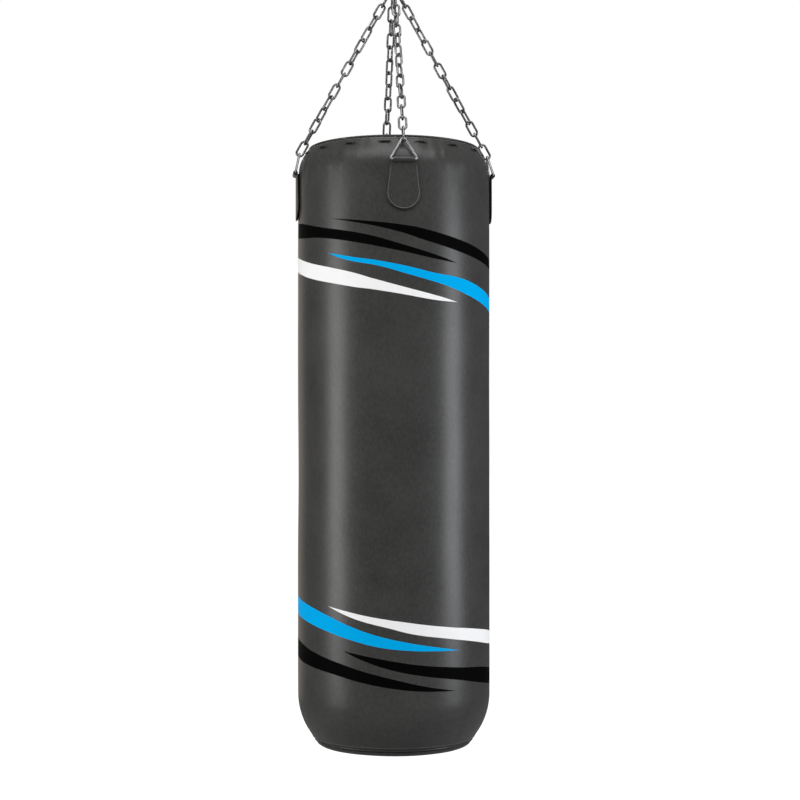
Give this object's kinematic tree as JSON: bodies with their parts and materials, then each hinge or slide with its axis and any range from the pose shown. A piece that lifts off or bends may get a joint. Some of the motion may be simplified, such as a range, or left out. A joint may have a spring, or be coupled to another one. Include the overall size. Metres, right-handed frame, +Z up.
{
  "type": "heavy punching bag",
  "caption": "Tall filled cylinder in a laced leather cover, hung by chains from its sewn tabs to one ring and a swivel.",
  "frame": {"origin": "where the ceiling hook bears inside the swivel's upper eye", "axes": "+Z up along the bag's axis, the bag hangs below; -Y is the front, towards the middle tab; +X is the right side"},
  "size_m": [0.3676, 0.3676, 1.4722],
  "materials": {
    "cover_leather": "satin",
    "trim_leather": "satin",
    "lace": "matte",
    "foam": "matte",
    "textile": "matte",
    "chain_steel": "satin",
    "swivel_steel": "satin",
    "washer_plastic": "matte"
  },
  "bodies": {
    "hanger": {"swivel_upper_eye": "swivel_steel"},
    "swivel": {"swivel_lower_eye": "swivel_steel", "swivel_washer": "swivel_steel", "swivel_thrust_washer": "washer_plastic", "swivel_nut": "swivel_steel"},
    "ring": {"master_ring": "swivel_steel"},
    "bag": {"bottom_panel": "cover_leather", "bottom_welt": "trim_leather", "chain_back": "chain_steel", "chain_front": "chain_steel", "chain_left": "chain_steel", "chain_right": "chain_steel", "foam_cap": "foam", "foam_floor": "foam", "foam_wrap": "foam", "outer_cover": "cover_leather", "rim_lace": "lace", "rim_welt": "trim_leather", "tab_back": "cover_leather", "tab_front": "cover_leather", "tab_left": "cover_leather", "tab_right": "cover_leather", "textile_filling": "textile", "top_collar": "cover_leather", "top_lid": "cover_leather", "triangle_ring_back": "chain_steel", "triangle_ring_front": "chain_steel", "triangle_ring_left": "chain_steel", "triangle_ring_right": "chain_steel"}
  },
  "joints": [
    {"name": "swivel_spin", "type": "hinge", "parent": "hanger", "child": "swivel", "pos_m": [0, 0, -0.04], "axis": [0, 0, 1], "continuous": true},
    {"name": "ring_swing", "type": "hinge", "parent": "swivel", "child": "ring", "pos_m": [0, 0, -0.0808], "axis": [0, 1, 0], "range_deg": [-50, 50]},
    {"name": "bag_swing", "type": "hinge", "parent": "ring", "child": "bag", "pos_m": [0, 0, -0.1072], "axis": [1, 0, 0], "range_deg": [-50, 50]}
  ]
}
